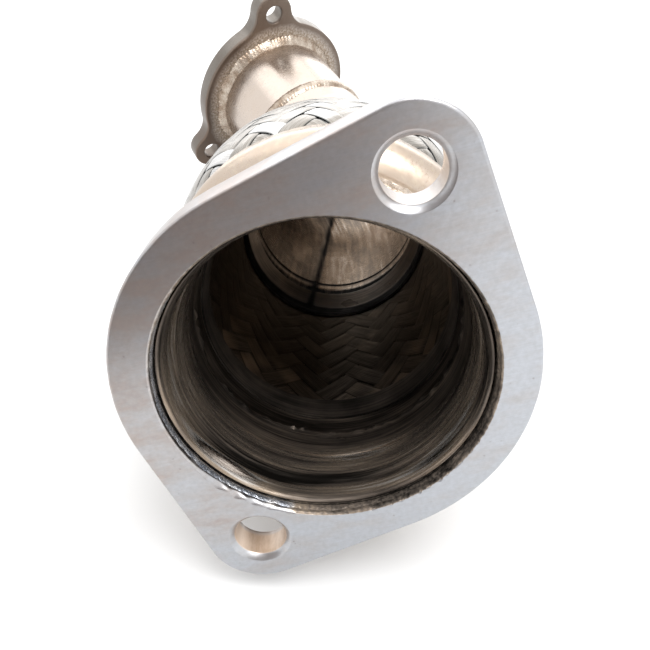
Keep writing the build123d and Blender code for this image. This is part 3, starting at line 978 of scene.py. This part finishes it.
def elbow():
    """Straight leg and bend with a seam, a turned band near its start, and soft ripples inside the bend."""
    def reshape(s, r, turn):
        gap = angle_gap(turn, seam_at(s)) * TUBE_RI
        ridge = SEAM_HEIGHT * near(gap, 0, SEAM_HALF)
        band = BAND_HEIGHT * between(s, BAND_RISE, BAND_FALL) - GROOVE_DEPTH * near(s, GROOVE_PLACE, 0.7)
        bend = between(s, (BEND_START, BEND_START + RIPPLE_FADE), (BEND_END - RIPPLE_FADE, BEND_END))
        hollow = np.clip(np.cos(turn - BEND_CLOCK), 0, 1) ** 2
        ripple = RIPPLE_HEIGHT * bend * np.cos(s * RIPPLE_RATE) * hollow
        return s, r - inner_face(r, 1.25) * (ridge + band) + ripple + WAVER * (wobble(turn, 6, 2, 7) - 1.5)

    def soot(s, r, turn):
        gap = angle_gap(turn, seam_at(s)) * TUBE_RI
        # Painted shade and light: dark behind the rear ring's funnel and in the groove, lighter on the raised
        # band.
        stops = [150, 160.5, 161.5, 165.5, 166.5, 170.0, 171.0, 240]
        level = np.interp(s, stops, [0.95, 0.95, 0.44, 0.44, 1.0, 1.0, 0.37, 0.37])
        # Painted shade: the wall on one side of the seam is darker.
        left = ease(gap, 0, 3) * ease(s, 161, 162)
        level = level + left * (0.24 - 0.08 * ease(gap, 6, 34)) + 0.6 * near(gap, 0, 1.7)
        return np.where(r < TUBE_R - 0.4, np.clip(level, 0.12, 1), 0.0)

    corners = [(ELBOW_START, TUBE_RI, 0.4), (ELBOW_START, TUBE_R, 0.4), (ELBOW_END, TUBE_R, 0),
               (ELBOW_END, TUBE_RI, 0)]
    lathe("elbow", divide(soften(corners), 1.3), TUBE, "tube_steel", columns=ELBOW_COLUMNS,
          reshape=reshape, welds=(FLEX_END, ELBOW_END), soot=soot)


def inlet_pipe():
    """Straight tube from the elbow to the turbo plate."""
    def soot(s, r, turn):
        return np.where(r < TUBE_R - 0.4, 0.3, 0.0)

    end = PIPE_END - INLET_RECESS
    corners = [(ELBOW_END, TUBE_RI, 0), (ELBOW_END, TUBE_R, 0), (end, TUBE_R, 0.4), (end, TUBE_RI, 0.8)]
    lathe("inlet_pipe", divide(soften(corners), 1.6), TUBE, "tube_steel", columns=PIPE_COLUMNS,
          welds=(ELBOW_END, PIPE_END - INLET_THICKNESS), soot=soot)


# Flexible joint

def far_side(corners):
    """The same corners measured from the joint's far end."""
    return [(FLEX_START + FLEX_END - s, r, size) for s, r, size in corners]


def collar_corners():
    """Section of the near cap: neck, shoulder and rim."""
    neck_end = FLEX_START + COLLAR_NECK
    rim_start = neck_end + COLLAR_SHOULDER
    rim_end = FLEX_START + COLLAR_LENGTH
    outside = [(FLEX_START, CUFF_R + COLLAR_WALL, 0.5), (neck_end, CUFF_R + COLLAR_WALL, 4.5),
               (rim_start, COLLAR_R, 4.5), (rim_end, COLLAR_R, 0.7)]
    inside = [(rim_end, COLLAR_RI, 0.5), (rim_start + 1, COLLAR_RI, 3.5), (neck_end + 1, CUFF_R, 3.5)]
    return [(FLEX_START, CUFF_R, 0.2)] + outside + inside


def collar(name, corners, weld):
    """Pressed cap, its rim slightly out of round."""
    def reshape(s, r, turn):
        rim = ease(r, CUFF_R + COLLAR_WALL, COLLAR_R)
        return s, r + 0.10 * rim * wobble(turn, round(weld), 3, 12)

    lathe(name, divide(soften(corners, 8), 1.2), COLLAR, "collar_steel", columns=RING_COLUMNS,
          reshape=reshape, welds=(weld,))


def belly(s):
    """Outer braid's mean radius."""
    middle = (FLEX_START + FLEX_END) / 2
    half = (FLEX_END - FLEX_START) / 2 - COLLAR_LENGTH
    off = np.minimum(np.abs(s - middle) / half, 1)
    return COLLAR_RI + BELLY * (1 - off ** 2) ** BELLY_POWER


def strip_profile():
    """Section of a strip as places across it and heights, with a crowned top and a flat underside."""
    across = np.linspace(-1, 1, 9)
    crown = np.sqrt(np.clip(1 - np.abs(across) ** 5, 0, 1)) / 2
    return np.array(list(zip(across, crown)) + [(x, -0.5) for x in (0.9, 0.3, -0.3, -0.9)]).T


def woven_piece(name, finish, slot, radius_at, outward, start, row, rows, tails, bundles, share, rise,
                thickness, pitch):
    """Two-over, two-under weave of closed flat strips.

    A strip of one family crosses the other family's strips at whole steps of its own course."""
    side, height = strip_profile()
    corners = len(side)
    points, faces, strand, edge, flat = [], [], [], [], []
    draw = np.random.default_rng(SEED + bundles)
    steps = int((rows + tails[0] + tails[1]) * STRIP_STEPS) + 1
    run = np.linspace(-tails[0], rows + tails[1], steps)
    for family in (1, -1):
        for index in range(bundles):
            own = index + 0.5
            course = run + own if family > 0 else own - run
            course, off = np.meshgrid(course, side * share / 2, indexing="ij")
            column = course + own + off + draw.uniform(-STRIP_DRIFT, STRIP_DRIFT)
            line = family * (course - own - off)
            lift = np.tanh(2.6 * np.cos(math.pi / 2 * (course + own - 1.5))) / math.tanh(2.6)
            sag = draw.uniform(-STRIP_SAG, STRIP_SAG)
            turn = math.pi * column / bundles
            s = start + np.clip(line, -tails[0], rows + tails[1]) * row
            body = np.broadcast_to(height, s.shape) * thickness
            r = radius_at(s) + outward * (family * lift * rise + body + sag)
            grid = on_pipe(s, r, turn).reshape(-1, 3)
            quads = grid_faces(*s.shape)
            quads = quads[quads.max(1) - quads.min(1) <= 2 * corners]
            lids = [list(range(corners))[::-1], list(range(len(grid) - corners, len(grid)))]
            if volume(grid - grid.mean(0), quads) < 0:
                quads = quads[:, ::-1]
                lids = [lid[::-1] for lid in lids]
            base = sum(len(p) for p in points)
            points.append(grid)
            faces += (quads + base).tolist() + [[i + base for i in lid] for lid in lids]
            across = np.broadcast_to(side * share / 2 * pitch, s.shape)
            number = np.full(s.shape, 7.3 * index + (3.1 if family > 0 else 0))
            strand.append(np.stack([across, course * pitch, number], -1).reshape(-1, 3))
            # Where shade is painted on a strip: its edges, and all of its underside.
            edge.append(np.broadcast_to(np.where(height > -0.4, np.abs(side) ** 3, 1), s.shape).ravel())
            flat.append(np.stack([r * np.cos(turn), r * np.sin(turn), s], -1).reshape(-1, 3))
    make_piece(name, np.concatenate(points), faces, finish, slot, sharp=70, strand=np.concatenate(strand),
               edge=np.concatenate(edge), flat=np.concatenate(flat))


def outer_braid():
    """Barrel of flat bundles between the two caps, its ends tucked into them."""
    woven_piece("flex_outer_braid", OUTER_WEAVE, "braid_steel", lambda s: belly(s) + 0.1, outward=1,
                start=FLEX_START + COLLAR_LENGTH, row=OUTER_ROW, rows=OUTER_ROWS, tails=(2.0, 2.0),
                bundles=OUTER_BUNDLES, share=0.94, rise=0.28, thickness=0.40, pitch=6.1)


def inner_braid():
    """Liner of flat bundles, its ends tucked behind the liner rings."""
    woven_piece("flex_inner_braid", INNER_WEAVE, "liner_steel", lambda s: LINER_R + 0.1, outward=-1,
                start=FRONT_RING_END, row=LINER_ROW, rows=LINER_ROWS, tails=(1.4, 2.0),
                bundles=LINER_BUNDLES, share=0.95, rise=0.09, thickness=0.18, pitch=7.7)


def front_ring():
    """Straight ring that holds the inner braid's near end."""
    def soot(s, r, turn):
        return np.interp(s, [STUB_END, STUB_END + 1, FRONT_RING_END], [0.95, 0.82, 0.8])

    inner = LINER_R - RING_WALL
    corners = [(STUB_END, inner, 0.08), (STUB_END, LINER_R, 0.1), (FRONT_RING_END, LINER_R, 0.1),
               (FRONT_RING_END, inner, 0.2)]
    lathe("flex_front_inner_ring", divide(soften(corners), 1.0), INNER, "inner_steel",
          columns=RING_COLUMNS, soot=soot)


def rear_ring():
    """Ring that holds the inner braid's far end and narrows into the elbow."""
    inner = LINER_R - RING_WALL
    band_end = REAR_RING_START + FUNNEL_BAND
    corners = [(REAR_RING_START, inner, 0.35), (REAR_RING_START, LINER_R, 0.1), (band_end, LINER_R, 1.5),
               (REAR_RING_END, LINER_R - FUNNEL_DROP, 0.15), (REAR_RING_END, inner - FUNNEL_DROP, 0.35),
               (band_end, inner, 1.5)]

    def soot(s, r, turn):
        gap = angle_gap(turn, seam_at(s)) * LINER_R
        # Painted shade: dark on the straight band by the braid's end, and a little darker on one side of the
        # seam.
        stops = [band_end - 0.5, band_end + 1, REAR_RING_END - 1, REAR_RING_END]
        level = np.interp(s, stops, [0.95, 0.52, 0.46, 0.62])
        return np.clip(level + 0.06 * ease(gap, 0, 4) + 0.6 * near(gap, 0, 1.5), 0, 1)

    lathe("flex_rear_inner_ring", divide(soften(corners), 0.8), INNER, "inner_steel",
          columns=RING_COLUMNS, soot=soot)


# Weld beads

def bead(name, corners, place, ripples, rise, finish, seed, soot=None, ragged=0.12):
    """Bead whose crown has the arched ripples of a hand weld."""
    loop = divide(soften(corners, 3), 0.5)
    middle = loop.mean(0)

    def reshape(s, r, turn):
        away = np.hypot(s - middle[0], r - middle[1])
        reach = away / away.max()
        lag = 0.5 * ((s - middle[0]) / max(np.ptp(loop[:, 0]), 0.1)) ** 2
        wave = np.abs(np.sin(ripples / 2 * (turn + 2 * math.pi / ripples * lag)))
        swell = rise * (wave - 0.5) + ragged * wobble(turn, seed, 5, 90, 0.6)
        return s + (s - middle[0]) * reach * swell * 0.5, r + (r - middle[1]) * reach * swell

    lathe(name, loop, finish, "weld_steel", columns=BEAD_COLUMNS, place=place, reshape=reshape,
          soot=soot, sharp=50)


def recess_beads():
    """Beads in the recesses of both plates, round the tubes' ends."""
    def soot(s, r, turn):
        # Grime and painted light round the recess, and painted shade at the back, where the bead meets the
        # lip.
        return bore_soot(turn) + ease(s, 2.8, 3.2)

    recess = OUTLET_RECESS
    corners = [(1.3, BORE_R, 0.1), (2.3, BORE_R - 0.35, 0.6), (recess, BORE_R - 0.15, 0.1),
               (recess + 0.3, BORE_R + 0.1, 0.1)]
    bead("outlet_inner_weld", corners, on_outlet, 90, 0.1, WELD, seed=21, soot=soot, ragged=0.22)
    recess = INLET_RECESS
    corners = [(0.9, BORE_R, 0.1), (2.0, BORE_R - 0.5, 0.8), (recess + 0.2, TUBE_R - 0.6, 0.2),
               (recess + 0.3, TUBE_R + 0.3, 0.1)]
    bead("inlet_inner_weld", corners, on_inlet, 90, 0.25, TINTED_WELD, seed=22, ragged=0.3)


def outside_beads():
    """Beads behind the plates, at both caps and between elbow and inlet pipe."""
    back = OUTLET_THICKNESS
    corners = [(back - 0.2, TUBE_R - 0.3, 0.1), (back - 0.2, TUBE_R + 4.0, 0.4),
               (back + 1.6, TUBE_R + 2.6, 1.4), (back + 4.0, TUBE_R + 0.5, 0.6),
               (back + 4.0, TUBE_R - 0.3, 0.1)]
    bead("outlet_rear_weld", corners, on_outlet, 110, 0.16, TINTED_WELD, seed=23)
    corners = [(FLEX_START - 3.0, TUBE_R - 0.1, 0.2), (FLEX_START - 2.2, CUFF_R + 0.75, 1.2),
               (FLEX_START, CUFF_R + COLLAR_WALL, 0.4), (FLEX_START + 0.1, TUBE_R - 0.1, 0.1)]
    bead("flex_front_weld", corners, on_pipe, 105, 0.2, TINTED_WELD, seed=24)
    bead("flex_rear_weld", far_side(corners), on_pipe, 105, 0.2, TINTED_WELD, seed=25)
    corners = [(ELBOW_END - 3.5, TUBE_R - 0.2, 0.3), (ELBOW_END - 1.6, TUBE_R + 1.3, 1.6),
               (ELBOW_END + 1.6, TUBE_R + 1.3, 1.6), (ELBOW_END + 3.5, TUBE_R - 0.2, 0.3)]
    bead("elbow_weld", corners, on_pipe, 120, 0.22, TINTED_WELD, seed=26)
    back = INLET_THICKNESS
    corners = [(back - 0.2, TUBE_R - 0.3, 0.1), (back - 0.2, TUBE_R + 4.0, 0.5),
               (back + 2.0, TUBE_R + 2.2, 1.6), (back + 4.0, TUBE_R, 0.5),
               (back + 3.9, TUBE_R - 0.3, 0.1)]
    bead("inlet_outer_weld", corners, on_inlet, 110, 0.2, TINTED_WELD, seed=27)


def bellows():
    """The solid from the part stays as it is and gets a dark steel."""
    node = frame["nodes"]["flex_bellows"]
    node.data.materials.clear()
    node.data.materials.append(bellows_finish())


# Stage

def sheet(name, paint_name, corners, colour):
    """Flat matt quad for the stage."""
    mesh = bpy.data.meshes.new(name)
    mesh.from_pydata(corners, [], [(0, 1, 2, 3)])
    paint = bpy.data.materials.new(paint_name)
    paint.use_nodes = True
    shader = paint.node_tree.nodes["Principled BSDF"]
    shader.inputs["Base Color"].default_value = (*colour, 1)
    shader.inputs["Roughness"].default_value = 0.9
    mesh.materials.append(paint)
    return link(name, mesh)


def floor():
    """Pale floor just under the part."""
    half, level = FLOOR_HALF, cad_low.z - FLOOR_GAP
    corners = [(-half, -half, level), (half, -half, level), (half, half, level), (-half, half, level)]
    piece = sheet("floor", "floor_paint", corners, FLOOR_GREY)


def dark_card():
    """Dark grey card in front of the plate's upper left, seen only in its reflection."""
    low, high = cad_low.z + CARD_RISE, CARD_TOP
    corners = [(*CARD_NEAR, low), (*CARD_FAR, low), (*CARD_FAR, high), (*CARD_NEAR, high)]
    piece = sheet("dark_card", "card_paint", corners, CARD_GREY)
    piece.visible_camera = False
    piece.visible_diffuse = False
    piece.visible_shadow = False


def aim(thing, way):
    """Turns a lamp or camera to look along a direction."""
    thing.rotation_mode = "QUATERNION"
    thing.rotation_quaternion = way.to_track_quat("-Z", "Y")


def lamp(name, at, towards, size, watts):
    """White soft box that the camera doesn't see."""
    data = bpy.data.lights.new(name, "AREA")
    data.shape = "RECTANGLE"
    data.size, data.size_y = size
    data.energy = watts
    light = link(name, data)
    light.location = at
    aim(light, Vector(towards) - Vector(at))
    light.visible_camera = False


def world():
    """Even white light from all round."""
    made = bpy.data.worlds.new("studio")
    made.use_nodes = True
    back = made.node_tree.nodes["Background"]
    back.inputs["Color"].default_value = (1, 1, 1, 1)
    back.inputs["Strength"].default_value = WORLD_STRENGTH
    bpy.context.scene.world = made


def camera():
    """Camera where the photo was taken from."""
    data = bpy.data.cameras.new("camera")
    data.sensor_width = CAMERA_SENSOR
    data.lens = CAMERA_LENS
    data.clip_start = 0.004
    data.clip_end = 20
    eye = link("camera", data)
    eye.location = Vector(CAMERA_AT) * MM
    aim(eye, Vector(CAMERA_AIM))
    bpy.context.scene.camera = eye


outlet_plate()
stub()
collar("flex_front_collar", collar_corners(), FLEX_START)
collar("flex_rear_collar", far_side(collar_corners()), FLEX_END)
outer_braid()
inner_braid()
front_ring()
rear_ring()
elbow()
inlet_pipe()
inlet_plate()
recess_beads()
outside_beads()
bellows()

floor()
dark_card()
for one in LAMPS:
    lamp(*one)
world()
camera()
bpy.context.scene.view_settings.view_transform = "Standard"
